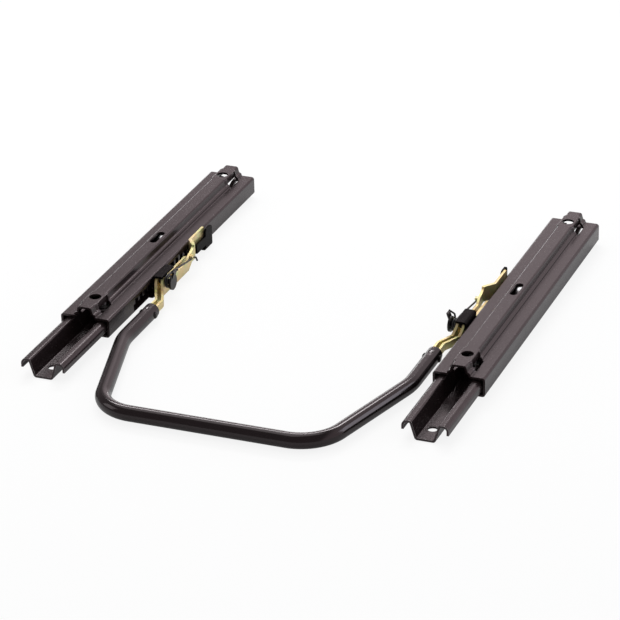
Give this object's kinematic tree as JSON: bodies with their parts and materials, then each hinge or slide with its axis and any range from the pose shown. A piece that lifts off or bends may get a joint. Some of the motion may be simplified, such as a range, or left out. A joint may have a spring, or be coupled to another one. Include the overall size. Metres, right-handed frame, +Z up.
{
  "type": "seat slide rail pair with lift handle",
  "caption": "Pair of steel seat slide rails with roller and ball guides, notched floor rails and toothed latches released together by one bent tube handle.",
  "frame": {"origin": "centre of the four floor bolt holes, on the face that lies on the floor", "axes": "+X across the car, +Y along the rails towards the back, +Z up"},
  "size_m": [0.397, 0.477, 0.0294],
  "materials": {
    "rail_black": "satin dip-coated black, brownish",
    "handle_black": "gloss powder coat",
    "bracket_black": "semi-gloss black coat",
    "zinc_yellow": "yellow passivated zinc plate",
    "rivet_steel": "dark coated steel",
    "spring_black": "oiled black spring wire",
    "cage_steel": "dull zinc plate",
    "bright_steel": "polished hardened steel"
  },
  "bodies": {
    "floor_rails": {"left_floor_rail": "rail_black", "right_floor_rail": "rail_black"},
    "left_seat_rail_body": {"left_seat_rail": "rail_black", "left_latch_bracket": "bracket_black", "left_bracket_rivets": "rivet_steel", "left_keeper": "bracket_black", "left_keeper_rivets": "rivet_steel", "left_pivot_pin": "rivet_steel"},
    "left_cages": {"left_roller_carrier": "cage_steel", "left_ball_strips": "cage_steel", "left_balls": "bright_steel"},
    "left_front_roller_body": {"left_front_roller": "bright_steel"},
    "left_rear_roller_body": {"left_rear_roller": "bright_steel"},
    "right_seat_rail_body": {"right_seat_rail": "rail_black", "right_latch_bracket": "bracket_black", "right_bracket_rivets": "rivet_steel", "right_keeper": "bracket_black", "right_keeper_rivets": "rivet_steel", "right_pivot_pin": "rivet_steel"},
    "right_cages": {"right_roller_carrier": "cage_steel", "right_ball_strips": "cage_steel", "right_balls": "bright_steel"},
    "right_front_roller_body": {"right_front_roller": "bright_steel"},
    "right_rear_roller_body": {"right_rear_roller": "bright_steel"},
    "handle": {"handle_tube": "handle_black", "left_latch_lever": "zinc_yellow", "right_latch_lever": "zinc_yellow", "left_handle_rivet": "rivet_steel", "right_handle_rivet": "rivet_steel", "left_return_spring": "spring_black", "right_return_spring": "spring_black"}
  },
  "joints": [
    {"name": "left_slide", "type": "slide", "parent": "floor_rails", "child": "left_seat_rail_body", "axis": [0, 1, 0], "range_m": [-0.18, 0]},
    {"name": "left_cage_slide", "type": "slide", "parent": "floor_rails", "child": "left_cages", "axis": [0, 1, 0], "range_m": [-0.09, 0]},
    {"name": "left_front_roller_spin", "type": "hinge", "parent": "left_cages", "child": "left_front_roller_body", "pos_m": [-0.175, -0.034, 0.0147], "axis": [1, 0, 0], "range_deg": [0, 415]},
    {"name": "left_rear_roller_spin", "type": "hinge", "parent": "left_cages", "child": "left_rear_roller_body", "pos_m": [-0.175, 0.092, 0.0147], "axis": [1, 0, 0], "range_deg": [0, 415]},
    {"name": "right_slide", "type": "slide", "parent": "floor_rails", "child": "right_seat_rail_body", "axis": [0, 1, 0], "range_m": [-0.18, 0]},
    {"name": "right_cage_slide", "type": "slide", "parent": "floor_rails", "child": "right_cages", "axis": [0, 1, 0], "range_m": [-0.09, 0]},
    {"name": "right_front_roller_spin", "type": "hinge", "parent": "right_cages", "child": "right_front_roller_body", "pos_m": [0.175, -0.034, 0.0147], "axis": [1, 0, 0], "range_deg": [0, 415]},
    {"name": "right_rear_roller_spin", "type": "hinge", "parent": "right_cages", "child": "right_rear_roller_body", "pos_m": [0.175, 0.092, 0.0147], "axis": [1, 0, 0], "range_deg": [0, 415]},
    {"name": "handle_lift", "type": "hinge", "parent": "left_seat_rail_body", "child": "handle", "pos_m": [-0.14, 0.017, 0.016], "axis": [-1, 0, 0], "range_deg": [-3, 0], "stiffness_Nm_per_rad": 1.2, "springref_deg": -20.05}
  ],
  "couplings": [
    {"joint": "left_cage_slide", "follows": "left_slide", "ratio": 0.5},
    {"joint": "left_front_roller_spin", "follows": "left_slide", "rad_per_m": -39.841},
    {"joint": "left_rear_roller_spin", "follows": "left_slide", "rad_per_m": -39.841},
    {"joint": "right_cage_slide", "follows": "left_slide", "ratio": 0.5},
    {"joint": "right_front_roller_spin", "follows": "left_slide", "rad_per_m": -39.841},
    {"joint": "right_rear_roller_spin", "follows": "left_slide", "rad_per_m": -39.841},
    {"joint": "right_slide", "follows": "left_slide", "ratio": 1}
  ]
}
